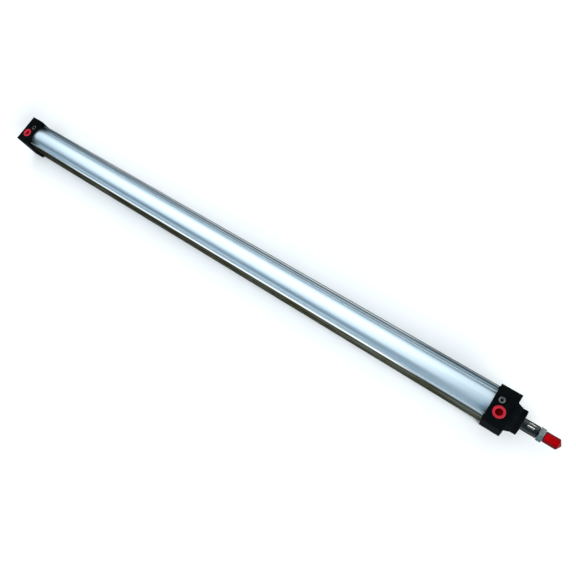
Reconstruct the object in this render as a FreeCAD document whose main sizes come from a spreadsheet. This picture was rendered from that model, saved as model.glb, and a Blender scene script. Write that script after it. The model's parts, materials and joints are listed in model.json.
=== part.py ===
"""Double-acting pneumatic cylinder with square caps, a round tube and four tie rods.

Frame, in millimetres: +X runs along the axis towards the rod's end, with X = 0 on the front cap's
mounting face. +Z points out of the face that holds the air ports. Y and Z are 0 on the axis.
"""
import FreeCAD, Part
import os
import re

import Sketcher

# Driving dimensions. Every size in the model is one of these or a formula of them.
SIZES = {
    # whole cylinder
    "stroke": 900,
    "end_allowance": 93,  # cap face to cap face, less the stroke
    "rest_extension": 10.5,  # how far the rod stands out of its fully retracted place
    "stop_gap": 0.05,
    "slip": 0.03,  # radial clearance of a sliding or turning fit
    # caps
    "cap_width": 52,
    "cap_length": 27.5,
    "edge_round": 0.5,
    "neck_dia": 34,
    "neck_root_dia": 40.5,
    "neck_root_length": 8,
    "neck_length": 15,
    "neck_round": 1.4,
    "spigot_reach": 3,
    "cavity_dia": 24,
    "cavity_floor": 8,
    # ports and cushion needles
    "port_dia": 13.16,
    "port_depth": 12,
    "port_passage_dia": 8,
    "port_inset": 14.3,
    "port_offset": 7,
    "needle_inset": 18,
    "needle_offset": 8.2,
    "needle_recess_dia": 12.4,
    "needle_recess_depth": 0.8,
    "needle_bore_dia": 8.1,
    "needle_bore_floor": 14.4,
    "needle_seat_dia": 4,
    "needle_top": 22.6,
    "needle_socket": 4,
    "retainer_dia": 9.1,
    "retainer_hole_dia": 6.2,
    "retainer_top": 24.9,
    "retainer_thickness": 0.7,
    # tube and tie rods
    "bore_dia": 40,
    "tube_dia": 46,
    "tube_seat": 4,
    "tie_rod_dia": 6,
    "tie_rod_pitch": 40,
    "tie_rod_inset": 9,
    "tie_nut_dia": 8.8,
    "tie_nut_length": 17,
    "mount_thread_dia": 5,
    "nut_slot_width": 1.5,
    "nut_slot_depth": 1.2,
    # rod and its fittings
    "rod_dia": 16,
    "rod_shoulder": 25,
    "rod_thread_dia": 12,
    "rod_thread_length": 24,
    "rod_tail_length": 62,
    "flats_width": 14,
    "flats_length": 9,
    "flats_setback": 5.5,
    "flats_turn": 10,
    "rod_nut_across": 18,
    "rod_nut_length": 7,
    "rod_nut_turn": 15,
    "protector_dia": 14.5,
    "protector_start": 18.4,
    "protector_body": 17.2,
    "protector_length": 21,
    # guide and seals of the rod
    "bush_dia": 20,
    "bush_length": 17.2,
    "rod_seal_dia": 23,
    "rod_seal_start": 9.5,
    "rod_seal_width": 4.3,
    "mouth_dia": 17.2,
    # cushions
    "cushion_dia": 22,
    "cushion_length": 18,
    "cushion_seal_dia": 28,
    "cushion_seal_width": 3.5,
    # piston
    "piston_dia": 39.4,
    "seal_floor_dia": 32,
    "seal_width": 4.1,
    "seal_land": 3.5,
    "wear_ring_width": 6.5,
    "wear_floor_dia": 36.4,
    "wear_land": 9.2,
    "magnet_floor_dia": 30,
    "magnet_dia": 36.8,
    "magnet_width": 5,
    "front_half_length": 17,
}

doc = FreeCAD.newDocument("pneumatic_cylinder")
sheet = doc.addObject("Spreadsheet::Sheet", "Sizes")
for row, (alias, number) in enumerate(SIZES.items(), start=1):
    sheet.set(f"A{row}", alias)
    sheet.set(f"B{row}", str(number))
    sheet.setAlias(f"B{row}", alias)
doc.recompute()

# Places along the axis, as formulas of the sheet's cells.
REAR_FACE = "(-(stroke + end_allowance))"
PISTON_LENGTH = "(end_allowance - 2 * cap_length - 2 * spigot_reach - 2 * stop_gap)"
PISTON_REAR = f"({REAR_FACE} + cap_length + spigot_reach + stop_gap + rest_extension)"
PISTON_FRONT = f"({PISTON_REAR} + {PISTON_LENGTH})"
ROD_SHOULDER = "(rod_shoulder + rest_extension)"
SLEEVE_FRONT = f"({PISTON_FRONT} + cushion_length)"

ALONG_X = FreeCAD.Rotation()
BACK_ALONG_X = FreeCAD.Rotation(FreeCAD.Vector(0, 0, 1), 180)
X_TO_Z = FreeCAD.Rotation(FreeCAD.Vector(0, 1, 0), -90)
Z_TO_X = FreeCAD.Rotation(FreeCAD.Vector(0, 1, 0), 90)

pieces = []


def linked(formula):
    """The formula with each size's name written as a cell of the sheet."""
    return re.sub(r"[a-z]\w*", lambda word: "Sizes." + word.group(0), formula)


def bind(target, **formulas):
    """Binds properties of an object to formulas; place_x stands for Placement.Base.x."""
    for name, formula in formulas.items():
        path = name.replace("place_", "Placement.Base.")
        target.setExpression(path, linked(formula))


def piece(shape_object, label):
    """Marks an object as a sub-part and gives it its name."""
    shape_object.Label = label
    pieces.append(shape_object)
    return shape_object


def cylinder(radius, length, x="0", y="0", z="0", turn=Z_TO_X):
    """A cylinder from (x, y, z) along +X, or along +Z with no turn."""
    solid = doc.addObject("Part::Cylinder", "Cylinder")
    solid.Placement = FreeCAD.Placement(FreeCAD.Vector(), turn)
    bind(solid, Radius=radius, Height=length, place_x=x, place_y=y, place_z=z)
    return solid


def upright(radius, length, x, y, z):
    return cylinder(radius, length, x, y, z, FreeCAD.Rotation())


def box(length, width, height, x, y, z):
    solid = doc.addObject("Part::Box", "Box")
    bind(solid, Length=length, Width=width, Height=height, place_x=x, place_y=y, place_z=z)
    return solid


def hexagon(across, length, x, turn):
    """A hexagonal prism along +X, with its width across flats."""
    solid = doc.addObject("Part::Prism", "Prism")
    solid.Polygon = 6
    solid.Placement = FreeCAD.Placement(FreeCAD.Vector(), turn)
    bind(solid, Circumradius=f"{across} / 1.7320508", Height=length, place_x=x)
    return solid


def fuse(*solids):
    result = doc.addObject("Part::MultiFuse", "Fusion")
    result.Shapes = list(solids)
    return result


def cut(base, tool):
    result = doc.addObject("Part::Cut", "Cut")
    result.Base = base
    result.Tool = tool
    return result


def common(*solids):
    result = doc.addObject("Part::MultiCommon", "Common")
    result.Shapes = list(solids)
    return result


def rounded(base, radius, wanted):
    """Fillets the edges of a primitive that the test picks."""
    doc.recompute()
    result = doc.addObject("Part::Fillet", "Fillet")
    result.Base = base
    size = SIZES[radius]
    edges = enumerate(base.Shape.Edges, start=1)
    result.Edges = [(number, size, size) for number, edge in edges if wanted(edge)]
    return result


def turned(label, outline, x, y="0", z="0", turn=ALONG_X):
    """A lathe-turned body: an outline of (distance along the axis, radius) revolved about X."""
    body = doc.addObject("PartDesign::Body", label)
    plane = next(each for each in body.Origin.OriginFeatures if each.Role == "XY_Plane")
    sketch = body.newObject("Sketcher::SketchObject", label + "_outline")
    sketch.AttachmentSupport = (plane, [""])
    sketch.MapMode = "FlatFace"
    corner_total = len(outline)
    spread = FreeCAD.Rotation(FreeCAD.Vector(0, 0, 1), 360 / corner_total)
    corner = FreeCAD.Vector(10, 0, 0)
    corners = []
    for _ in outline:
        corners.append(corner + FreeCAD.Vector(20, 20, 0))
        corner = spread.multVec(corner)
    for index in range(corner_total):
        following = corners[(index + 1) % corner_total]
        sketch.addGeometry(Part.LineSegment(corners[index], following), False)
    for index in range(corner_total):
        joined = (index + 1) % corner_total
        sketch.addConstraint(Sketcher.Constraint("Coincident", index, 2, joined, 1))
    for index, distances in enumerate(outline):
        for direction, axis, distance in zip(("DistanceX", "DistanceY"), (-2, -1), distances):
            if distance == "0":
                sketch.addConstraint(Sketcher.Constraint("PointOnObject", index, 1, axis))
            else:
                made = Sketcher.Constraint(direction, -1, 1, index, 1, 20.0)
                number = sketch.addConstraint(made)
                sketch.setExpression(f"Constraints[{number}]", linked(distance))
    doc.recompute()
    revolution = body.newObject("PartDesign::Revolution", label + "_turned")
    revolution.Profile = sketch
    revolution.ReferenceAxis = (sketch, ["H_Axis"])
    revolution.Angle = 360
    body.Placement = FreeCAD.Placement(FreeCAD.Vector(), turn)
    bind(body, place_x=x, place_y=y, place_z=z)
    return body


class Cap:
    """Depths measured inwards from a cap's outer face, turned into places along X."""

    def __init__(self, name, face, inward):
        self.name = name
        self.face = face
        self.inward = inward

    def at(self, depth):
        sign = "+" if self.inward > 0 else "-"
        return f"({self.face} {sign} ({depth}))"

    def start(self, near, far):
        return self.at(near if self.inward > 0 else far)

    def bore(self, radius, near, far, y="0", z="0"):
        """A cylinder along X between two depths."""
        return cylinder(radius, f"({far}) - ({near})", self.start(near, far), y, z)


FRONT = Cap("front", "0", -1)
REAR = Cap("rear", REAR_FACE, 1)
CORNERS = {
    "upper_right": (1, 1),
    "upper_left": (-1, 1),
    "lower_right": (1, -1),
    "lower_left": (-1, -1),
}
SPIGOT_END = "cap_length + spigot_reach"
SPIGOT_RADIUS = "bore_dia / 2 - slip"
TUBE_GROOVE_FLOOR = "cap_length - tube_seat"
CUSHION_SEAL_INSET = "1.5"


def pitch_place(sign):
    return f"{sign} * tie_rod_pitch / 2"


def air_port(cap):
    """The threaded port and the passage from it to the cushion cavity."""
    x = cap.at("port_inset")
    floor = "cap_width / 2 - port_depth"
    thread = upright("port_dia / 2", "port_depth + 1", x, "-port_offset", floor)
    passage = upright("port_passage_dia / 2", "port_depth", x, "-port_offset", "4")
    return [thread, passage]


def needle_hole(cap):
    """The stepped hole of the cushion needle and the by-pass drilling that it throttles."""
    x = cap.at("needle_inset")
    y = "needle_offset"
    top = "cap_width / 2"
    recess = upright("needle_recess_dia / 2", "3", x, y, f"{top} - needle_recess_depth")
    bore = upright("needle_bore_dia / 2", f"{top} - needle_bore_floor", x, y, "needle_bore_floor")
    groove = upright("retainer_dia / 2 + 0.02", "retainer_thickness + 0.04", x, y,
                     "retainer_top - retainer_thickness - 0.02")
    seat = upright("needle_seat_dia / 2", "needle_bore_floor - 6", x, y, "7")
    bypass = cap.bore("1", "needle_inset", f"{SPIGOT_END} + 1", y, "needle_bore_floor - 0.4")
    return [recess, bore, groove, seat, bypass]


def tie_rod_holes(cap):
    tools = []
    for side, level in CORNERS.values():
        y, z = pitch_place(side), pitch_place(level)
        tools.append(cap.bore("tie_nut_dia / 2 + 0.05", "-1", "tie_nut_length + 0.05", y, z))
        tools.append(cap.bore("tie_rod_dia / 2 + 0.2", "0", "cap_length + 1", y, z))
    return tools


def tube_groove(cap):
    """The ring-shaped slot that the tube's end stands in, with the O-ring's groove beside it."""
    outer = cap.bore("tube_dia / 2 + 0.03", TUBE_GROOVE_FLOOR, "cap_length + 1")
    core = cap.bore(SPIGOT_RADIUS, "0", "cap_length + 2")
    ring_outer = cap.bore("bore_dia / 2 + 1", "cap_length + 0.1", "cap_length + 2.1")
    ring_core = cap.bore("bore_dia / 2 - 1.75", "0", "cap_length + 3")
    return [cut(outer, core), cut(ring_outer, ring_core)]


def cushion_cavity(cap):
    cavity = cap.bore("cavity_dia / 2", "cavity_floor", f"{SPIGOT_END} + 1")
    seal_end = f"{SPIGOT_END} - {CUSHION_SEAL_INSET}"
    groove = cap.bore("cushion_seal_dia / 2 + 0.02", f"{seal_end} - cushion_seal_width - 0.05", seal_end)
    return [cavity, groove]


def cap_block(cap):
    """The square block with all its edges rounded, and the spigot that enters the tube."""
    half = "-cap_width / 2"
    block = box("cap_length", "cap_width", "cap_width", cap.start("0", "cap_length"), half, half)
    block = rounded(block, "edge_round", lambda edge: True)
    spigot = cap.bore(SPIGOT_RADIUS, TUBE_GROOVE_FLOOR, SPIGOT_END)
    return block, spigot


def is_neck_rim(edge):
    reach = edge.BoundBox
    return abs(reach.XMin - SIZES["neck_length"]) < 0.01 and reach.XLength < 0.01


def make_front_cap():
    block, spigot = cap_block(FRONT)
    root = doc.addObject("Part::Cone", "NeckRoot")
    root.Placement = FreeCAD.Placement(FreeCAD.Vector(), Z_TO_X)
    bind(root, Radius1="neck_root_dia / 2 + 0.3", Radius2="neck_dia / 2", Height="neck_root_length + 1",
         place_x="-1")
    neck = cylinder("neck_dia / 2", "neck_length + 1", "-1")
    neck = rounded(neck, "neck_round", is_neck_rim)
    bush_bore = cylinder("bush_dia / 2 + 0.02", "cavity_floor + rod_seal_start + 1", "-cavity_floor - 1")
    seal_bore = cylinder("rod_seal_dia / 2", "rod_seal_width", "rod_seal_start")
    mouth = cylinder("mouth_dia / 2", "neck_length", "rod_seal_start")
    tools = [bush_bore, seal_bore, mouth]
    for make in (air_port, needle_hole, tie_rod_holes, tube_groove, cushion_cavity):
        tools += make(FRONT)
    piece(cut(fuse(block, root, neck, spigot), fuse(*tools)), "front_cap")


def make_rear_cap():
    tools = []
    for make in (air_port, needle_hole, tie_rod_holes, tube_groove, cushion_cavity):
        tools += make(REAR)
    piece(cut(fuse(*cap_block(REAR)), fuse(*tools)), "rear_cap")


def make_tube():
    length = f"stroke + end_allowance - 2 * ({TUBE_GROOVE_FLOOR})"
    start = f"{REAR_FACE} + {TUBE_GROOVE_FLOOR}"
    tube = cut(cylinder("tube_dia / 2", length, start), cylinder("bore_dia / 2", length, start))
    piece(tube, "cylinder_tube")


def make_tie_rods():
    length = "stroke + end_allowance - 2 * tie_rod_inset"
    start = f"{REAR_FACE} + tie_rod_inset"
    for name, (side, level) in CORNERS.items():
        rod = cylinder("tie_rod_dia / 2", length, start, pitch_place(side), pitch_place(level))
        piece(rod, name + "_tie_rod")


def tie_rod_nut(cap, side, level):
    """A round slotted nut: its inner half holds the tie rod, its outer half takes a mounting bolt."""
    y, z = pitch_place(side), pitch_place(level)
    barrel = cap.bore("tie_nut_dia / 2", "0", "tie_nut_length", y, z)
    bolt_hole = cap.bore("mount_thread_dia / 2", "-1", "tie_rod_inset + 1", y, z)
    rod_hole = cap.bore("tie_rod_dia / 2", "tie_rod_inset", "tie_nut_length + 1", y, z)
    slot = box("nut_slot_depth + 1", "2 * tie_nut_dia", "nut_slot_width",
               cap.start("-1", "nut_slot_depth"), f"{y} - tie_nut_dia", f"{z} - nut_slot_width / 2")
    return cut(barrel, fuse(bolt_hole, rod_hole, slot))


def make_tie_rod_nuts(cap):
    group = doc.addObject("Part::Compound", "NutGroup")
    group.Links = [tie_rod_nut(cap, side, level) for side, level in CORNERS.values()]
    piece(group, cap.name + "_tie_rod_nuts")


def ring(label, ring_radius, cord_radius, x, y="0", z="0", turn=Z_TO_X):
    """An O-ring, or any ring of round section, about an axis along X or Z."""
    torus = doc.addObject("Part::Torus", "Torus")
    torus.Placement = FreeCAD.Placement(FreeCAD.Vector(), turn)
    bind(torus, Radius1=ring_radius, Radius2=cord_radius, place_x=x, place_y=y, place_z=z)
    piece(torus, label)


def make_cap_seals(cap):
    ring(cap.name + "_tube_o_ring", "bore_dia / 2 - 0.875", "0.86", cap.at("cap_length + 1.1"))
    width = "cushion_seal_width"
    far = f"{SPIGOT_END} - {CUSHION_SEAL_INSET}"
    lip = f"({width} - 1.2)"
    outline = [("0", "cushion_dia / 2 + 2.2"), (lip, "cushion_dia / 2 + slip"),
               (width, "cushion_dia / 2 + slip"), (width, "cushion_seal_dia / 2"),
               ("0", "cushion_seal_dia / 2")]
    turn = BACK_ALONG_X if cap.inward < 0 else ALONG_X
    start = cap.at(f"{far} - {width}")
    piece(turned(cap.name + "_cushion_seal", outline, start, turn=turn), cap.name + "_cushion_seal")


def make_needle(cap):
    """The cushion adjusting screw: cone tip, O-ring groove and hexagon socket."""
    tip = "(needle_bore_floor - 3.4)"
    top = f"(needle_top - {tip})"
    head = "needle_bore_dia / 2 - 0.05"
    outline = [("0", "0"), ("0", "0.6"), ("3", "needle_seat_dia / 2 - 0.15"),
               ("5.4", "needle_seat_dia / 2 - 0.15"), ("5.4", head), ("6.2", head), ("6.2", "3"),
               ("7.8", "3"), ("7.8", head), (f"{top} - 0.4", head), (top, f"{head} - 0.4"), (top, "0")]
    x = cap.at("needle_inset")
    name = cap.name + "_cushion_needle"
    stem = turned(name + "_stem", outline, x, "needle_offset", tip, X_TO_Z)
    socket = doc.addObject("Part::Prism", "Socket")
    socket.Polygon = 6
    bind(socket, Circumradius="needle_socket / 1.7320508", Height="3", place_x=x,
         place_y="needle_offset", place_z="needle_top - 2.4")
    piece(cut(stem, socket), name)
    ring(cap.name + "_needle_o_ring", "3.5", "0.47", x, "needle_offset", f"{tip} + 7",
         FreeCAD.Rotation())


def make_needle_retainer(cap):
    """A snap ring with a gap, sprung into its groove above the needle."""
    x = cap.at("needle_inset")
    low = "retainer_top - retainer_thickness"
    disc = upright("retainer_dia / 2", "retainer_thickness", x, "needle_offset", low)
    hole = upright("retainer_hole_dia / 2", "3", x, "needle_offset", "retainer_top - 2")
    gap = box("1.2", "retainer_dia", "3", f"{x} - 0.6", "needle_offset", "retainer_top - 2")
    piece(cut(disc, fuse(hole, gap)), cap.name + "_needle_retainer")


def make_port_plug(cap):
    """A hollow push-in dust plug: a round-edged flange on the cap and a ribbed thimble below it."""
    flange, hole = "8", "4.7"
    outline = [("0", "0"), ("0", "5.2"), ("0.8", "6"), ("1.8", "6.5"), ("2.2", "6.1"), ("3.8", "6.5"),
               ("4.2", "6.1"), ("5.8", "6.5"), ("6.2", "6.1"), ("7.8", "6.5"), ("10", "6.5"),
               ("10", f"{flange} - 0.1"), ("10.3", flange), ("10.9", flange), ("11.3", f"{flange} - 0.5"),
               ("11.3", f"{hole} + 0.5"), ("10.9", hole), ("1.2", "4.6"), ("1.2", "0")]
    name = cap.name + "_port_plug"
    plug = turned(name, outline, cap.at("port_inset"), "-port_offset", "cap_width / 2 - 10", X_TO_Z)
    piece(plug, name)


def make_rod_bush():
    outline = [("0", "rod_dia / 2 + 0.6"), ("0.6", "rod_dia / 2 + slip"),
               ("bush_length - 0.6", "rod_dia / 2 + slip"), ("bush_length", "rod_dia / 2 + 0.6"),
               ("bush_length", "bush_dia / 2 - 0.4"), ("bush_length - 0.4", "bush_dia / 2"),
               ("0.4", "bush_dia / 2"), ("0", "bush_dia / 2 - 0.4")]
    piece(turned("rod_bush", outline, "-cavity_floor + 0.1"), "rod_bush")


def make_rod_seal():
    """The rod's seal, with a wiping lip that stands out of the neck's mouth."""
    inner, outer = "rod_dia / 2 + slip", "rod_seal_dia / 2 - 0.02"
    mouth = "mouth_dia / 2 - 0.05"
    width = "(rod_seal_width - 0.1)"
    outline = [("0", "10.4"), ("0", outer), (width, outer), (width, mouth),
               ("neck_length - rod_seal_start - 0.6", mouth), ("neck_length - rod_seal_start + 0.3", inner),
               ("3.6", inner), ("2.4", "rod_dia / 2 + 0.5"), ("0.8", inner), ("0", "rod_dia / 2 + 0.2"),
               ("0", "8.9"), ("1.6", "9.6")]
    piece(turned("rod_seal", outline, "rod_seal_start + 0.05"), "rod_seal")


def make_piston_rod():
    tail = "rod_tail_length"
    front = f"({tail} + {ROD_SHOULDER} - {SLEEVE_FRONT})"
    tip = f"({front} + rod_thread_length)"
    thread, full = "rod_thread_dia / 2", "rod_dia / 2"
    outline = [("0", "0"), ("0", f"{thread} - 0.8"), ("0.8", thread), (tail, thread), (tail, full),
               (f"{front} - 1.2", full), (front, f"{full} - 1"), (front, thread),
               (f"{tip} - 1", thread), (tip, f"{thread} - 1"), (tip, "0")]
    rod = turned("rod_blank", outline, f"{SLEEVE_FRONT} - {tail}")
    flats_start = f"{ROD_SHOULDER} - flats_setback - flats_length"
    above = box("flats_length", "rod_dia + 2", "4", flats_start, "-rod_dia / 2 - 1", "flats_width / 2")
    below = box("flats_length", "rod_dia + 2", "4", flats_start, "-rod_dia / 2 - 1",
                "-flats_width / 2 - 4")
    flats = fuse(above, below)
    flats.Placement.Rotation = FreeCAD.Rotation(FreeCAD.Vector(1, 0, 0), -SIZES["flats_turn"])
    piece(cut(rod, flats), "piston_rod")


def make_rod_nut():
    start = f"({ROD_SHOULDER} + 0.1)"
    turn = Z_TO_X.multiply(FreeCAD.Rotation(FreeCAD.Vector(0, 0, 1), SIZES["rod_nut_turn"]))
    prism = hexagon("rod_nut_across", "rod_nut_length", start, turn)
    corner = "(rod_nut_across / 1.7320508 + 0.01)"
    crown = "rod_nut_across / 2 - 0.1"
    outline = [("0", "0"), ("0", crown), ("0.9", corner), ("rod_nut_length - 0.9", corner),
               ("rod_nut_length", crown), ("rod_nut_length", "0")]
    envelope = turned("nut_envelope", outline, start)
    hole = cylinder("rod_thread_dia / 2 + slip", "rod_nut_length + 2", f"{start} - 1")
    piece(cut(common(prism, envelope), hole), "rod_nut")


def make_thread_protector():
    inner, outer = "rod_thread_dia / 2 + slip", "protector_dia / 2"
    body, tip = "protector_body", "protector_length"
    depth = "rod_thread_length - (protector_start - rest_extension) + 0.3"
    outline = [("0", inner), ("0", f"{outer} - 0.3"), ("0.3", outer), (f"{body} - 0.5", outer),
               (body, f"{outer} - 0.3"), (f"{tip} - 0.9", "1.9"), (f"{tip} - 0.3", "1.1"), (tip, "0"),
               (depth, "0"), (depth, inner)]
    start = "rod_shoulder + protector_start"
    piece(turned("thread_protector", outline, start), "thread_protector")


def make_cushions():
    hole, outer = "rod_thread_dia / 2 + 0.02", "cushion_dia / 2"
    length = "cushion_length"
    sleeve = [("0", hole), ("0", outer), (f"{length} - 3", outer), (f"{length} - 0.4", f"{outer} - 1.3"),
              (length, f"{outer} - 1.7"), (length, hole)]
    piece(turned("front_cushion_sleeve", sleeve, PISTON_FRONT), "front_cushion_sleeve")
    tail = f"(rod_tail_length - cushion_length - {PISTON_LENGTH} + 0.2)"
    spear = [("0", hole), ("0", outer), (f"{length} - 3", outer), (f"{length} - 0.4", f"{outer} - 1.3"),
             (length, f"{outer} - 1.7"), (length, "0"), (tail, "0"), (tail, hole)]
    blank = turned("spear_blank", spear, PISTON_REAR, turn=BACK_ALONG_X)
    socket = hexagon("8", "5", f"{PISTON_REAR} - cushion_length - 1", Z_TO_X)
    piece(cut(blank, socket), "rear_cushion_spear")


def make_piston():
    """The piston's two halves. The front half's hub passes through the magnet and meets the rear half."""
    hole, outer, floor = "rod_thread_dia / 2 + 0.02", "piston_dia / 2", "seal_floor_dia / 2"
    hub = "(front_half_length + magnet_width)"
    first, second = "seal_land", "(seal_land + seal_width)"
    wear, wear_end = "wear_land", "(wear_land + wear_ring_width)"
    front = [("0", hole), ("0", f"{outer} - 0.5"), ("0.5", outer), (first, outer), (first, floor),
             (second, floor), (second, outer), (wear, outer), (wear, "wear_floor_dia / 2"),
             (wear_end, "wear_floor_dia / 2"), (wear_end, outer), ("front_half_length", outer),
             ("front_half_length", "magnet_floor_dia / 2"), (hub, "magnet_floor_dia / 2"), (hub, hole),
             ("6.1", hole), ("6.1", "7.6"), ("4", "7.6"), ("4", hole)]
    piece(turned("front_piston_half", front, PISTON_FRONT, turn=BACK_ALONG_X), "front_piston_half")
    rear_length = f"({PISTON_LENGTH} - {hub})"
    rear = [("0", hole), ("0", f"{outer} - 0.5"), ("0.5", outer), (first, outer), (first, floor),
            (second, floor), (second, outer), (rear_length, outer), (rear_length, hole)]
    piece(turned("rear_piston_half", rear, PISTON_REAR), "rear_piston_half")
    ring("piston_o_ring", "6.8", "0.75", f"{PISTON_FRONT} - 5.05")
    magnet = [("0.05", "magnet_floor_dia / 2 + 0.03"), ("0.05", "magnet_dia / 2"),
              ("magnet_width - 0.05", "magnet_dia / 2"),
              ("magnet_width - 0.05", "magnet_floor_dia / 2 + 0.03")]
    piece(turned("piston_magnet", magnet, f"{PISTON_REAR} + {rear_length}"), "piston_magnet")


def make_piston_seals():
    """The two lip seals and the split wear ring, which slide on the tube's bore."""
    bore = "bore_dia / 2 - 0.02"
    floor = "seal_floor_dia / 2 + 0.02"
    width = "(seal_width - 0.1)"
    lips = [("0", floor), (width, floor), (width, "17"), (f"{width} - 1.9", "18"), (width, "19.1"),
            (f"{width} - 0.2", bore), (f"{width} - 1.1", bore), ("0", f"{bore} - 0.35")]
    front_start = f"{PISTON_FRONT} - seal_land - seal_width + 0.05"
    rear_start = f"{PISTON_REAR} + seal_land + seal_width - 0.05"
    piece(turned("front_piston_seal", lips, front_start), "front_piston_seal")
    piece(turned("rear_piston_seal", lips, rear_start, turn=BACK_ALONG_X), "rear_piston_seal")
    inside, clear = "wear_floor_dia / 2 + 0.02", "(wear_ring_width - 0.1)"
    band = [("0", inside), ("0", bore), (clear, bore), (clear, inside)]
    start = f"{PISTON_FRONT} - wear_land - wear_ring_width + 0.05"
    blank = turned("wear_ring_blank", band, start)
    gap = box("wear_ring_width + 2", "1.2", "30", f"{start} - 1", "-0.6", "0")
    piece(cut(blank, gap), "piston_wear_ring")


make_front_cap()
make_rear_cap()
make_tube()
make_tie_rods()
for each_cap in (FRONT, REAR):
    make_tie_rod_nuts(each_cap)
    make_cap_seals(each_cap)
    make_needle(each_cap)
    make_needle_retainer(each_cap)
    make_port_plug(each_cap)
make_rod_bush()
make_rod_seal()
make_piston_rod()
make_rod_nut()
make_thread_protector()
make_cushions()
make_piston()
make_piston_seals()
doc.recompute()

for every in doc.Objects:
    if "Invalid" in every.State or "Error" in every.State:
        raise RuntimeError(f"{every.Label} failed: {every.State}")
for sub_part in pieces:
    if sub_part.Shape.isNull() or not sub_part.Shape.isValid():
        raise RuntimeError(f"{sub_part.Label} has no valid shape")

os.makedirs("parts", exist_ok=True)
for sub_part in pieces:
    sub_part.Shape.exportStep(f"parts/{sub_part.Label}.step")
    bounds = sub_part.Shape.BoundBox
    print(f"{sub_part.Label:24s} {len(sub_part.Shape.Solids)} solid(s) {sub_part.Shape.Volume:12.1f} mm3"
          f"  X {bounds.XMin:9.2f} {bounds.XMax:8.2f}  Z {bounds.ZMin:7.2f} {bounds.ZMax:7.2f}")
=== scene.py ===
"""Looks of the pneumatic cylinder, in metres, in the CAD model's frame: +X towards the rod's end, +Z up."""
import json
import math

import bpy
from mathutils import Matrix, Vector


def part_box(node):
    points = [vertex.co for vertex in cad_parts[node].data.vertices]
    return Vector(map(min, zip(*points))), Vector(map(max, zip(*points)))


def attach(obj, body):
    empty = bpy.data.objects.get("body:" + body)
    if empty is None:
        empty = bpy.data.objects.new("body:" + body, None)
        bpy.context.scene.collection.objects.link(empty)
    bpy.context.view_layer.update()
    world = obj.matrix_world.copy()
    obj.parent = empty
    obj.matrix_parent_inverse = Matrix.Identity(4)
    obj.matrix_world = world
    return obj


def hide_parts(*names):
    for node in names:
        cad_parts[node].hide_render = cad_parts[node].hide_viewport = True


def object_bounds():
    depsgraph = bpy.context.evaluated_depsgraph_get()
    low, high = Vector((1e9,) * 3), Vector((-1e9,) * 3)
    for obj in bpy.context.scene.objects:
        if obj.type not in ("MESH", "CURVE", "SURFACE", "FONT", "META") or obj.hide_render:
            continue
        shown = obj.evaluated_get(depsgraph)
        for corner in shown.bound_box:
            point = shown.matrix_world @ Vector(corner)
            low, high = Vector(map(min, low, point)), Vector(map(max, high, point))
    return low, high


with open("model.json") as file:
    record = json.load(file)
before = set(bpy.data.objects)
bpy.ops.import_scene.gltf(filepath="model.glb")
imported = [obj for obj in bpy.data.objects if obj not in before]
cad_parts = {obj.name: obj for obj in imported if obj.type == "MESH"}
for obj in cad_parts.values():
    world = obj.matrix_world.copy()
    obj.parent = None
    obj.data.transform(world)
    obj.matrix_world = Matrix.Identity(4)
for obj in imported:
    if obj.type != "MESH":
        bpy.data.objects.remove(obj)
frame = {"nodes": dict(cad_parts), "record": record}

cad_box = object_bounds()
scene = bpy.context.scene

# ---------------------------------------------------------------- sizes read from the frame
tube_low, tube_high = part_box("cylinder_tube")
rod_low, rod_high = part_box("piston_rod")
nut_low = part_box("rod_nut")[0]
protector_low, protector_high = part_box("thread_protector")

MM = 0.001
TUBE_RADIUS = tube_high.z
ROD_RADIUS = rod_high.y
TAIL_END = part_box("front_cushion_sleeve")[1].x
NECK_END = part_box("front_cap")[1].x
SHOULDER = nut_low.x - 0.1 * MM
FLOOR_LEVEL = cad_box[0].z - 0.05 * MM  # just clear of the caps' undersides

# ---------------------------------------------------------------- sizes the frame's boxes don't give
BORE_RADIUS = 20 * MM
TUBE_LIP = 0.4 * MM

THREAD_RADIUS = 6 * MM
THREAD_PITCH = 1.25 * MM
THREAD_RUN_IN = 1.2 * MM
THREAD_DEPTH = 0.61  # of the pitch
CREST_FLAT = 0.12  # of half the pitch, and the same again at the root

ROD_CHAMFER = 1 * MM
TAIL_CHAMFER = 0.8 * MM
FLATS_HALF = 7 * MM
FLATS_TURN = math.radians(10)
FLATS_START = SHOULDER - 14.5 * MM
FLATS_END = SHOULDER - 5.5 * MM

TIE_ROD_RADIUS = 3 * MM
TIE_ROD_PITCH = 1 * MM
TIE_ROD_CHAMFER = 0.7 * MM
TIE_THREAD_LENGTH = 18 * MM
TIE_THREAD_RUN_OUT = 1.5 * MM

PROTECTOR_WALL_LENGTH = 17.2 * MM
PROTECTOR_TIP_RADIUS = 1.6 * MM
PROTECTOR_TIP_LENGTH = 0.6 * MM
PROTECTOR_POINT_LENGTH = 5 * MM
PROTECTOR_CLEARANCE = 0.05 * MM
PROTECTOR_END_GAP = 0.3 * MM
GROOVES = 12
GROOVE_DEPTH = 0.35 * MM
GROOVE_MARGIN = 0.8 * MM
GROOVE_SHARPNESS = 8

# ---------------------------------------------------------------- painted shade, painted sheen and painted dark reflections
# noise settings for the patchy layers of painted light and shade
PAINTED_LIGHT_PATCHES = (14, 90, 90)
PAINTED_LIGHT_THINNEST = 0.85
# painted dark reflection, brown like dark surroundings, on the -Y flanks of the tube and the left tie rods
PAINTED_BROWN_REFLECTION = (0.095, 0.087, 0.045)
# painted shade line between the tube and the upper right tie rod, and painted dark reflection lines along
# that rod
PAINTED_DARK_LINES = (0.040, 0.045, 0.045)
# painted dark reflection on the chromed rod where it stands out of the front cap
PAINTED_CHROME_REFLECTION = (0.065, 0.067, 0.059)
# painted shade on the thread protector's lower half and on its point
RED_PAINTED_SHADE = (0.03, 0.0003, 0.0006)
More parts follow.
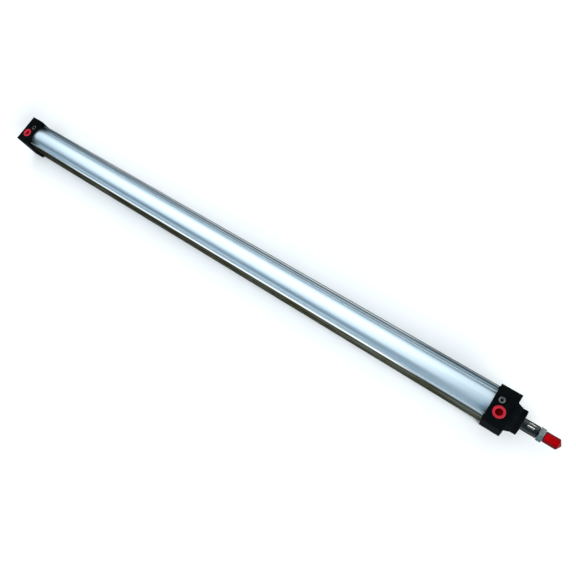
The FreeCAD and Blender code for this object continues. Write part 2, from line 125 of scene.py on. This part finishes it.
# painted sheen on the highest faces of the port plugs
RED_PAINTED_SHEEN = (0.42, 0.022, 0.040)

# ---------------------------------------------------------------- stage, light and camera
FLOOR_HALF = 6.0
FLOOR_COLOUR = (0.90, 0.90, 0.89)

CAMERA_LENS = 34.4
CAMERA_SENSOR = 36
CAMERA_PLACE = (-0.0167, -0.1290, 0.7505)
CAMERA_TARGET = (-0.3519, -0.0039, 0.0)
CAMERA_ROLL = math.radians(-36.85)

SOFTBOX_ALONG = (-3.5, -0.02)
SOFTBOX_LEAN = math.radians(13)
SOFTBOX_DISTANCE = 1.4
SOFTBOX_WIDTH = 2.3
SOFTBOX_RADIANCE = 1.08
SOFTBOX_COLOUR = (1.0, 0.995, 0.98)

GLINT_ALONG = 0.105
GLINT_LEAN = math.radians(30)
GLINT_SPREAD = 0.0042  # radians to each side
GLINT_LENGTH = 0.026
GLINT_WIDTH = 0.0015
GLINT_RADIANCE = 24.0

FILL_PLACE = (4.2, -1.45, 1.8)
FILL_TARGET = (-0.3, 0, 0)
FILL_WIDTH = 4.0
FILL_HEIGHT = 2.4
FILL_RADIANCE = 15

WHITE = (1.0, 1.0, 1.0)
ROOM_BANDS = (  # from the -Y side of the room, at 0, to the +Y side, at 1
    (0.0, (0.33, 0.47, 0.56)),
    (0.13, (0.11, 0.19, 0.26)),
    (0.45, (0.12, 0.20, 0.27)),
    (0.85, (0.62, 0.68, 0.73)),
    (1.0, (1.0, 1.04, 1.08)),
)


# ---------------------------------------------------------------- mesh making
def add_mesh(name, points, faces, sharp_angle=35):
    """A mesh object, smooth except where two faces meet at more than the sharp angle."""
    mesh = bpy.data.meshes.new(name)
    mesh.from_pydata([tuple(point) for point in points], [], faces)
    mesh.validate()
    mesh.update()
    for face in mesh.polygons:
        face.use_smooth = True
    mesh.set_sharp_from_angle(angle=math.radians(sharp_angle))
    made = bpy.data.objects.new(name, mesh)
    scene.collection.objects.link(made)
    return made


def softened(corners, steps=4):
    """An outline of (along, radius, rounding) corners, with an arc in place of each rounded corner."""
    outline = []
    total = len(corners)
    for index, (along, radius, rounding) in enumerate(corners):
        here = Vector((along, radius))
        if not rounding:
            outline.append(here)
            continue
        before = Vector(corners[index - 1][:2]) - here
        after = Vector(corners[(index + 1) % total][:2]) - here
        reach = min(rounding, before.length * 0.49, after.length * 0.49)
        start = here + before.normalized() * reach
        end = here + after.normalized() * reach
        for step in range(steps + 1):
            share = step / steps
            outline.append(start * (1 - share) ** 2 + here * 2 * share * (1 - share) + end * share ** 2)
    return outline


def lathe(name, corners, segments, closed=False):
    """Turns an outline about the X axis. A closed outline makes a ring; an open one ends on the axis."""
    points, rows = [], []
    for along, radius in softened(corners):
        if radius < 1e-7:
            rows.append([len(points)] * segments)
            points.append((along, 0, 0))
            continue
        rows.append([len(points) + step for step in range(segments)])
        for angle in even_angles(segments):
            points.append((along, radius * math.sin(angle), radius * math.cos(angle)))
    pairs = list(zip(rows, rows[1:]))
    if closed:
        pairs.append((rows[-1], rows[0]))
    faces = []
    for near, far in pairs:
        for step in range(segments):
            following = (step + 1) % segments
            face = tuple(dict.fromkeys((near[step], near[following], far[following], far[step])))
            if len(face) > 2:
                faces.append(face)
    return add_mesh(name, points, faces)


def shaft(name, stations, angles, radius_at, y=0.0, z=0.0, sharp_angle=35):
    """A closed shaft along X. Its radius is a function of the place along it, the angle from +Z and a tag."""
    points, faces = [], []
    count = len(angles)
    for along, tag in stations:
        for angle in angles:
            radius = radius_at(along, angle, tag)
            points.append((along, y + radius * math.sin(angle), z + radius * math.cos(angle)))
    for station in range(len(stations) - 1):
        low, high = station * count, (station + 1) * count
        for step in range(count):
            following = (step + 1) % count
            faces.append((low + step, low + following, high + following, high + step))
    faces.append(tuple(reversed(range(count))))
    faces.append(tuple(range((len(stations) - 1) * count, len(stations) * count)))
    return add_mesh(name, points, faces, sharp_angle)


def even_angles(count):
    return [2 * math.pi * step / count for step in range(count)]


def stations_between(start, end, step):
    count = max(1, round((end - start) / step))
    return [start + (end - start) * index / count for index in range(count + 1)]


def clamped(share):
    return min(1.0, max(0.0, share))


def thread_cut(along, angle, pitch):
    """How far a right-handed 60-degree thread is cut below its crest."""
    phase = (along / pitch - angle / (2 * math.pi)) % 1.0
    height = abs(2 * phase - 1)
    return THREAD_DEPTH * clamped((height - CREST_FLAT) / (1 - 2 * CREST_FLAT)) * pitch


# ---------------------------------------------------------------- materials
class Finish:
    """A procedural material: helper calls add colours, patchy layers of painted light and shade, and bumps to
    one Principled shader.
    """

    def __init__(self, name, metallic):
        self.material = bpy.data.materials.new(name)
        self.material.use_nodes = True
        self.nodes = self.material.node_tree.nodes
        self.links = self.material.node_tree.links
        self.shader = self.nodes["Principled BSDF"]
        self.shader.inputs["Metallic"].default_value = metallic
        self.places = self.nodes.new("ShaderNodeTexCoord").outputs["Object"]
        self.relief = None

    def noise(self, scale, detail=4.0, stretch=None):
        """Noise over the object. Stretch gives its scale along X, Y and Z."""
        node = self.nodes.new("ShaderNodeTexNoise")
        node.inputs["Scale"].default_value = scale
        node.inputs["Detail"].default_value = detail
        node.inputs["Roughness"].default_value = 0.55
        places = self.places
        if stretch:
            mapping = self.nodes.new("ShaderNodeMapping")
            mapping.inputs["Scale"].default_value = stretch
            self.links.new(places, mapping.inputs["Vector"])
            places = mapping.outputs["Vector"]
        self.links.new(places, node.inputs["Vector"])
        return node.outputs["Fac"]

    def span(self, value, low, high, to_low, to_high):
        """The value, moved from one range to another and held at its ends."""
        node = self.nodes.new("ShaderNodeMapRange")
        for socket, number in zip(("From Min", "From Max", "To Min", "To Max"), (low, high, to_low, to_high)):
            node.inputs[socket].default_value = number
        self.links.new(value, node.inputs["Value"])
        return node.outputs["Result"]

    def ramp(self, value, stops):
        """A colour that follows a value through (place, colour) stops."""
        node = self.nodes.new("ShaderNodeValToRGB")
        set_stops(node.color_ramp, stops)
        self.links.new(value, node.inputs["Fac"])
        return node.outputs["Color"]

    def tint(self, colour):
        """Sets the plain colour, which shows unless nodes give another one."""
        self.shader.inputs["Base Color"].default_value = (*colour, 1)
        self.material.diffuse_color = (*colour, 1)

    def colours(self, value, *stops):
        """Colours the surface by a value through a ramp of (place, colour) stops."""
        self.tint(stops[-1][1])
        colour = self.ramp(value, stops)
        self.links.new(colour, self.shader.inputs["Base Color"])
        return colour

    def painted_light_layer(self, under, colour, direction, *stops):
        """Paints light and shade over the colour under it, in a slightly patchy layer.

        Its share follows (distance, share) stops along a direction. The result becomes the surface's colour.
        """
        distance = self.nodes.new("ShaderNodeVectorMath")
        distance.operation = "DOT_PRODUCT"
        distance.inputs[1].default_value = direction
        self.links.new(self.places, distance.inputs[0])
        lowest, highest = stops[0][0], stops[-1][0]
        greys = [((place - lowest) / (highest - lowest), (share, share, share)) for place, share in stops]
        share = self.ramp(self.span(distance.outputs["Value"], lowest, highest, 0, 1), greys)
        patchy = self.nodes.new("ShaderNodeMath")
        patchy.operation = "MULTIPLY"
        self.links.new(share, patchy.inputs[0])
        patches = self.noise(1, 4, PAINTED_LIGHT_PATCHES)
        self.links.new(self.span(patches, 0.3, 0.6, PAINTED_LIGHT_THINNEST, 1), patchy.inputs[1])
        mix = self.nodes.new("ShaderNodeMix")
        mix.data_type = "RGBA"
        mix.inputs["B"].default_value = (*colour, 1)
        self.links.new(patchy.outputs["Value"], mix.inputs["Factor"])
        self.links.new(under, mix.inputs["A"])
        for socket in ("Base Color", "Specular Tint"):
            self.links.new(mix.outputs["Result"], self.shader.inputs[socket])
        return mix.outputs["Result"]

    def roughness(self, value, to_low, to_high):
        """Roughness that follows a noise value between two limits."""
        self.links.new(self.span(value, 0.3, 0.7, to_low, to_high), self.shader.inputs["Roughness"])

    def bump(self, value, depth):
        """Adds relief of a depth in metres."""
        node = self.nodes.new("ShaderNodeBump")
        node.inputs["Distance"].default_value = depth
        node.inputs["Strength"].default_value = 1.0
        self.links.new(value, node.inputs["Height"])
        if self.relief:
            self.links.new(self.relief, node.inputs["Normal"])
        self.relief = node.outputs["Normal"]
        self.links.new(self.relief, self.shader.inputs["Normal"])


def set_stops(color_ramp, stops):
    """Gives a Blender colour ramp a list of (place, colour) stops."""
    elements = color_ramp.elements
    while len(elements) < len(stops):
        elements.new(0.5)
    for element, (place, colour) in zip(elements, stops):
        element.position = place
        element.color = (*colour, 1)


def facing(degrees):
    """The direction across the cylinder that leans by an angle from straight up towards +Y."""
    lean = math.radians(degrees)
    return (0.0, math.sin(lean), math.cos(lean))


def black_paint():
    """Fine-textured matt black paint over a die casting."""
    finish = Finish("black_paint", 0.0)
    finish.colours(finish.noise(60, 5), (0.3, (0.0015, 0.0024, 0.0026)), (0.7, (0.0045, 0.0056, 0.0060)))
    finish.roughness(finish.noise(240), 0.46, 0.62)
    finish.bump(finish.noise(900, 3), 0.00006)
    finish.bump(finish.noise(120, 2), 0.00010)
    finish.shader.inputs["IOR"].default_value = 1.03
    finish.shader.inputs["Specular IOR Level"].default_value = 0.25
    return finish.material


def anodised_tube():
    """Satin anodised aluminium with faint draw lines, a painted dark reflection along its -Y flank and a
    painted shade line by the upper right tie rod.
    """
    finish = Finish("anodised_tube", 1.0)
    lines = finish.noise(1, 5, (2.5, 260, 260))
    own_colour = finish.colours(lines, (0.3, (0.66, 0.80, 0.88)), (0.7, (0.80, 0.91, 0.97)))
    # painted dark reflection along the tube's -Y flank
    side = finish.painted_light_layer(own_colour, PAINTED_BROWN_REFLECTION, facing(-82), (21.3 * MM, 0.0), (22.1 * MM, 1.0))
    # painted shade line on the tube next to the upper right tie rod
    finish.painted_light_layer(side, PAINTED_DARK_LINES, facing(53), (22.6 * MM, 0.0), (22.8 * MM, 0.8))
    finish.roughness(finish.noise(1, 4, (6, 420, 420)), 0.32, 0.42)
    finish.bump(finish.noise(1, 3, (9, 900, 900)), 0.000012)
    finish.bump(finish.noise(1600, 2), 0.000006)
    return finish.material


def zinc_steel():
    """Zinc-plated bar with long rolling marks, a painted dark reflection on the -Y flanks of the left rods
    and two painted dark reflection lines along the upper right rod.
    """
    finish = Finish("zinc_steel", 1.0)
    marks = finish.noise(1, 5, (8, 700, 700))
    own_colour = finish.colours(marks, (0.3, (0.58, 0.62, 0.64)), (0.7, (0.74, 0.78, 0.80)))
    # painted dark reflection on the outer -Y flanks of the left tie rods
    side = finish.painted_light_layer(own_colour, PAINTED_BROWN_REFLECTION, facing(-90), (20.3 * MM, 0.0), (21.3 * MM, 1.0))
    # painted dark reflection lines along the upper right tie rod
    finish.painted_light_layer(side, PAINTED_DARK_LINES, facing(80), (22.5 * MM, 0.0), (22.8 * MM, 0.95), (23.8 * MM, 0.95),
                (24.1 * MM, 0.3), (24.8 * MM, 0.3), (25.1 * MM, 0.95))
    finish.roughness(finish.noise(300), 0.10, 0.18)
    finish.bump(finish.noise(1, 3, (20, 1400, 1400)), 0.00001)
    return finish.material


def zinc_nut():
    """Bluish zinc plating with a soft mottle."""
    finish = Finish("zinc_nut", 1.0)
    finish.colours(finish.noise(260, 5), (0.32, (0.24, 0.265, 0.26)), (0.68, (0.40, 0.42, 0.39)))
    finish.roughness(finish.noise(700), 0.08, 0.16)
    finish.bump(finish.noise(1500, 3), 0.00002)
    return finish.material


def hard_chrome():
    """Ground and chromed rod with fine grinding marks round it and a painted dark reflection on the end that
    stands out of the front cap.
    """
    finish = Finish("hard_chrome", 1.0)
    rings = finish.noise(1, 4, (3000, 40, 40))
    own_colour = finish.colours(rings, (0.3, (0.42, 0.43, 0.43)), (0.7, (0.50, 0.51, 0.51)))
    # painted dark reflection on the rod beyond the front cap's neck
    finish.painted_light_layer(own_colour, PAINTED_CHROME_REFLECTION, (1, 0, 0), (NECK_END - 4 * MM, 0.0), (NECK_END - 1 * MM, 1.0))
    finish.roughness(finish.noise(500, 3), 0.015, 0.025)
    finish.bump(rings, 0.0000008)
    return finish.material


def red_plastic():
    """Soft moulded polyethylene, with painted shade underneath and at the protector's point and a painted
    sheen on the highest faces.
    """
    finish = Finish("red_plastic", 0.0)
    own_colour = finish.colours(finish.noise(180), (0.3, (0.30, 0.001, 0.002)), (0.7, (0.40, 0.002, 0.004)))
    # painted shade on the lower half of the thread protector
    shaded_below = finish.painted_light_layer(own_colour, RED_PAINTED_SHADE, facing(180), (-7.5 * MM, 0.0), (-3 * MM, 0.9), (8 * MM, 1.0))
    # painted sheen on the port plugs' highest faces
    with_top_sheen = finish.painted_light_layer(shaded_below, RED_PAINTED_SHEEN, facing(0), (20 * MM, 0.0), (26 * MM, 0.9))
    # painted shade on the protector's point
    point = protector_high.x - PROTECTOR_POINT_LENGTH
    finish.painted_light_layer(with_top_sheen, RED_PAINTED_SHADE, (1, 0, 0), (point - 1 * MM, 0.0), (point + 1 * MM, 0.5))
    finish.roughness(finish.noise(420), 0.36, 0.5)
    finish.bump(finish.noise(700), 0.00005)
    finish.shader.inputs["IOR"].default_value = 1.2
    return finish.material


def nickel_steel():
    """Nickel-plated turned screw, painted near-black as shade below the top of its head, down in its socket.
    """
    finish = Finish("nickel_steel", 1.0)
    parts = finish.nodes.new("ShaderNodeSeparateXYZ")
    finish.links.new(finish.nodes.new("ShaderNodeTexCoord").outputs["Generated"], parts.inputs[0])
    # painted shade: near-black below the top of the screw's head, down in its socket
    finish.colours(parts.outputs["Z"], (0.8, (0.004, 0.004, 0.004)), (0.95, (0.19, 0.19, 0.18)))
    finish.roughness(finish.noise(900, 3), 0.16, 0.3)
    finish.bump(finish.noise(2200, 3), 0.00001)
    return finish.material


def seal_rubber():
    finish = Finish("seal_rubber", 0.0)
    finish.colours(finish.noise(300), (0.3, (0.010, 0.010, 0.011)), (0.7, (0.022, 0.022, 0.023)))
    finish.roughness(finish.noise(600), 0.5, 0.7)
    finish.bump(finish.noise(1200, 3), 0.00002)
    return finish.material


def sintered_bronze():
    finish = Finish("sintered_bronze", 1.0)
    finish.colours(finish.noise(900, 5), (0.35, (0.36, 0.23, 0.10)), (0.65, (0.58, 0.40, 0.19)))
    finish.roughness(finish.noise(900), 0.38, 0.56)
    finish.bump(finish.noise(2600), 0.00003)
    return finish.material


def turned_metal(name, dark, bright, roughness):
    """Turned metal: tool marks run round the axis."""
    finish = Finish(name, 1.0)
    marks = finish.noise(1, 4, (2600, 30, 30))
    finish.colours(marks, (0.3, dark), (0.7, bright))
    finish.roughness(finish.noise(400, 3), roughness - 0.06, roughness + 0.08)
    finish.bump(marks, 0.000012)
    return finish.material


def dull_moulding(name, dark, bright):
    finish = Finish(name, 0.0)
    finish.colours(finish.noise(500, 5), (0.3, dark), (0.7, bright))
    finish.roughness(finish.noise(800), 0.46, 0.64)
    finish.bump(finish.noise(1600, 3), 0.00002)
    return finish.material


FINISHES = {
    "black_paint": black_paint(),
    "anodised_tube": anodised_tube(),
    "zinc_steel": zinc_steel(),
    "zinc_nut": zinc_nut(),
    "hard_chrome": hard_chrome(),
    "red_plastic": red_plastic(),
    "nickel_steel": nickel_steel(),
    "seal_rubber": seal_rubber(),
    "sintered_bronze": sintered_bronze(),
    "turned_aluminium": turned_metal("turned_aluminium", (0.6, 0.61, 0.62), (0.76, 0.77, 0.78), 0.3),
    "turned_steel": turned_metal("turned_steel", (0.36, 0.36, 0.36), (0.54, 0.54, 0.54), 0.28),
    "magnet_ferrite": dull_moulding("magnet_ferrite", (0.03, 0.03, 0.034), (0.07, 0.07, 0.075)),
    "guide_resin": dull_moulding("guide_resin", (0.6, 0.54, 0.42), (0.74, 0.69, 0.57)),
}


def paint_cad_nodes():
    """Every CAD node takes its slot's procedural finish."""
    for entry in frame["record"]["subparts"]:
        node = frame["nodes"][entry["node"]]
        for holder in node.material_slots:
            holder.material = FINISHES[entry["material_slot"]]


def stand_in(obj, node, body, slot_name):
    """The detailed piece takes the place of a CAD node on its body."""
    obj.data.materials.append(FINISHES[slot_name])
    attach(obj, body)
    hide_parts(node)


# ---------------------------------------------------------------- pieces
def make_tube():
    corners = [
        (tube_low.x, BORE_RADIUS, TUBE_LIP), (tube_low.x, TUBE_RADIUS, TUBE_LIP),
        (tube_high.x, TUBE_RADIUS, TUBE_LIP), (tube_high.x, BORE_RADIUS, TUBE_LIP),
    ]
    tube = lathe("tube_fine", corners, segments=192, closed=True)
    stand_in(tube, "cylinder_tube", "barrel", "anodised_tube")


def make_tie_rod(node):
    """A long bar with a rolled thread at each end, where the caps' nuts hold it."""
    low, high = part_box(node)
    y, z = (low.y + high.y) / 2, (low.z + high.z) / 2
    step = TIE_ROD_PITCH / 8
    rear = stations_between(low.x, low.x + TIE_THREAD_LENGTH, step)
    front = stations_between(high.x - TIE_THREAD_LENGTH, high.x, step)
    stations = [(along, "thread") for along in rear + front]

    def radius_at(along, angle, _tag):
        from_end = min(along - low.x, high.x - along)
        run_out = clamped((TIE_THREAD_LENGTH - from_end) / TIE_THREAD_RUN_OUT)
        cut = thread_cut(along, angle, TIE_ROD_PITCH) * run_out
        return min(TIE_ROD_RADIUS - cut, TIE_ROD_RADIUS - TIE_ROD_CHAMFER + from_end)

    rod = shaft(node + "_fine", stations, even_angles(40), radius_at, y, z, sharp_angle=60)
    stand_in(rod, node, "barrel", "zinc_steel")


def make_piston_rod():
    """The chromed rod with a thin tail, two wrench flats, a turned shoulder and a rolled thread."""
    flat_edge = math.acos(FLATS_HALF / ROD_RADIUS)
    edges = [FLATS_TURN + side * math.pi + sign * flat_edge for side in (0, 1) for sign in (-1, 1)]
    angles = sorted(even_angles(96) + [edge % (2 * math.pi) for edge in edges])
    stations = [
        (rod_low.x, "tail"), (rod_low.x + TAIL_CHAMFER, "tail"), (TAIL_END, "tail"), (TAIL_END, "body"),
        (FLATS_START, "body"), (FLATS_START, "flats"), (FLATS_END, "flats"), (FLATS_END, "body"),
        (SHOULDER - ROD_CHAMFER, "body"), (SHOULDER, "body"), (SHOULDER, "thread"),
    ]
    thread_step = THREAD_PITCH / 12
    stations += [(along, "thread")
                 for along in stations_between(SHOULDER + 0.1 * MM, rod_high.x, thread_step)]

    def radius_at(along, angle, tag):
        if tag == "thread":
            cut = thread_cut(along, angle, THREAD_PITCH) * clamped((along - SHOULDER) / THREAD_RUN_IN)
            return min(THREAD_RADIUS - cut, THREAD_RADIUS - ROD_CHAMFER + (rod_high.x - along))
        if tag == "tail":
            return min(THREAD_RADIUS, THREAD_RADIUS - TAIL_CHAMFER + (along - rod_low.x))
        radius = min(ROD_RADIUS, ROD_RADIUS - 0.8 * ROD_CHAMFER + (SHOULDER - along))
        if tag == "flats":
            radius = min(radius, FLATS_HALF / max(abs(math.cos(angle - FLATS_TURN)), 1e-6))
        return radius

    rod = shaft("piston_rod_fine", stations, angles, radius_at)
    stand_in(rod, "piston_rod", "piston_and_rod", "hard_chrome")


def make_thread_protector():
    """A soft cap, pointed at the end, with shallow grip grooves along its wall."""
    start, end = protector_low.x, protector_high.x
    outer, inner = protector_high.z, THREAD_RADIUS + PROTECTOR_CLEARANCE
    wall_end = start + PROTECTOR_WALL_LENGTH
    hole_end = rod_high.x + PROTECTOR_END_GAP
    corners = [
        (hole_end, 0, 0), (hole_end, inner, 0.3 * MM), (start, inner, 0.15 * MM), (start, outer, 0.25 * MM),
        (start + GROOVE_MARGIN, outer, 0), (start + 2 * GROOVE_MARGIN, outer, 0),
        (wall_end - 2 * GROOVE_MARGIN, outer, 0), (wall_end - GROOVE_MARGIN, outer, 0),
        (wall_end, outer, 0.6 * MM), (end - PROTECTOR_TIP_LENGTH, PROTECTOR_TIP_RADIUS, 1.2 * MM),
        (end, 0, 0),
    ]
    cap = lathe("thread_protector_fine", corners, segments=GROOVES * 12)
    for vertex in cap.data.vertices:
        along, y, z = vertex.co
        depth = clamped(min(along - start, wall_end - along) / GROOVE_MARGIN - 1.0)
        if depth and math.hypot(y, z) > inner + 0.3 * MM:
            turn = math.cos(GROOVES * math.atan2(y, z) / 2) ** GROOVE_SHARPNESS
            vertex.co.yz = Vector((y, z)) * (1 - turn * depth * GROOVE_DEPTH / outer)
    stand_in(cap, "thread_protector", "thread_protector", "red_plastic")


# ---------------------------------------------------------------- stage, light and camera
def make_floor():
    corners = [(-FLOOR_HALF, -FLOOR_HALF), (FLOOR_HALF, -FLOOR_HALF), (FLOOR_HALF, FLOOR_HALF),
               (-FLOOR_HALF, FLOOR_HALF)]
    floor = add_mesh("floor", [(x, y, FLOOR_LEVEL) for x, y in corners], [(0, 1, 2, 3)])
    finish = Finish("pale_floor", 0.0)
    finish.tint(FLOOR_COLOUR)
    finish.roughness(finish.noise(12, 3), 0.75, 0.85)
    floor.data.materials.append(finish.material)


def aim(obj, place, target, roll=0.0):
    obj.location = place
    direction = (Vector(target) - Vector(place)).normalized()
    turn = direction.to_track_quat("-Z", "Y").to_matrix() @ Matrix.Rotation(roll, 3, "Z")
    obj.rotation_euler = turn.to_euler()


def soft_light(name, place, target, width, height, radiance, colour=WHITE):
    """A rectangular light whose power follows from its size and how bright its face is."""
    light = bpy.data.lights.new(name, "AREA")
    light.shape = "RECTANGLE"
    light.size = width
    light.size_y = height
    light.energy = radiance * math.pi * width * height
    light.color = colour
    made = bpy.data.objects.new(name, light)
    scene.collection.objects.link(made)
    aim(made, place, target)


def over_axis(lean, along):
    """A point at the softbox's distance from the cylinder's axis, leaning from straight above towards +Y."""
    return Vector((along, SOFTBOX_DISTANCE * math.sin(lean), SOFTBOX_DISTANCE * math.cos(lean)))


def make_lights():
    """A long wide softbox above the tube, two glints for the rod's flats and a fill beyond the rod."""
    start, end = SOFTBOX_ALONG
    middle = (start + end) / 2
    soft_light("softbox", over_axis(SOFTBOX_LEAN, middle), (middle, 0, 0), end - start, SOFTBOX_WIDTH,
               SOFTBOX_RADIANCE, SOFTBOX_COLOUR)
    for side in (-1, 1):
        soft_light("glint", over_axis(GLINT_LEAN + side * GLINT_SPREAD, GLINT_ALONG), (GLINT_ALONG, 0, 0),
                   GLINT_LENGTH, GLINT_WIDTH, GLINT_RADIANCE)
    soft_light("fill", FILL_PLACE, FILL_TARGET, FILL_WIDTH, FILL_HEIGHT, FILL_RADIANCE)


def make_room():
    """The light of the room round the object: dim overhead and towards -Y, bright towards +Y."""
    world = bpy.data.worlds.new("studio")
    scene.world = world
    world.use_nodes = True
    nodes, links = world.node_tree.nodes, world.node_tree.links
    parts = nodes.new("ShaderNodeSeparateXYZ")
    links.new(nodes.new("ShaderNodeTexCoord").outputs["Generated"], parts.inputs[0])
    across = nodes.new("ShaderNodeMapRange")
    across.inputs["From Min"].default_value = -1
    links.new(parts.outputs["Y"], across.inputs["Value"])
    bands = nodes.new("ShaderNodeValToRGB")
    set_stops(bands.color_ramp, ROOM_BANDS)
    links.new(across.outputs["Result"], bands.inputs["Fac"])
    links.new(bands.outputs["Color"], nodes["Background"].inputs["Color"])


def make_camera():
    """The camera that a perspective fit of the cylinder's corners gives."""
    camera = bpy.data.cameras.new("camera")
    camera.lens = CAMERA_LENS
    camera.sensor_width = CAMERA_SENSOR
    camera.clip_start = 0.01
    made = bpy.data.objects.new("camera", camera)
    scene.collection.objects.link(made)
    aim(made, CAMERA_PLACE, CAMERA_TARGET, CAMERA_ROLL)
    scene.camera = made


paint_cad_nodes()
make_tube()
for tie_rod in ("upper_right_tie_rod", "upper_left_tie_rod", "lower_right_tie_rod", "lower_left_tie_rod"):
    make_tie_rod(tie_rod)
make_piston_rod()
make_thread_protector()
make_camera()
make_floor()
make_lights()
make_room()
scene.view_settings.view_transform = "Standard"
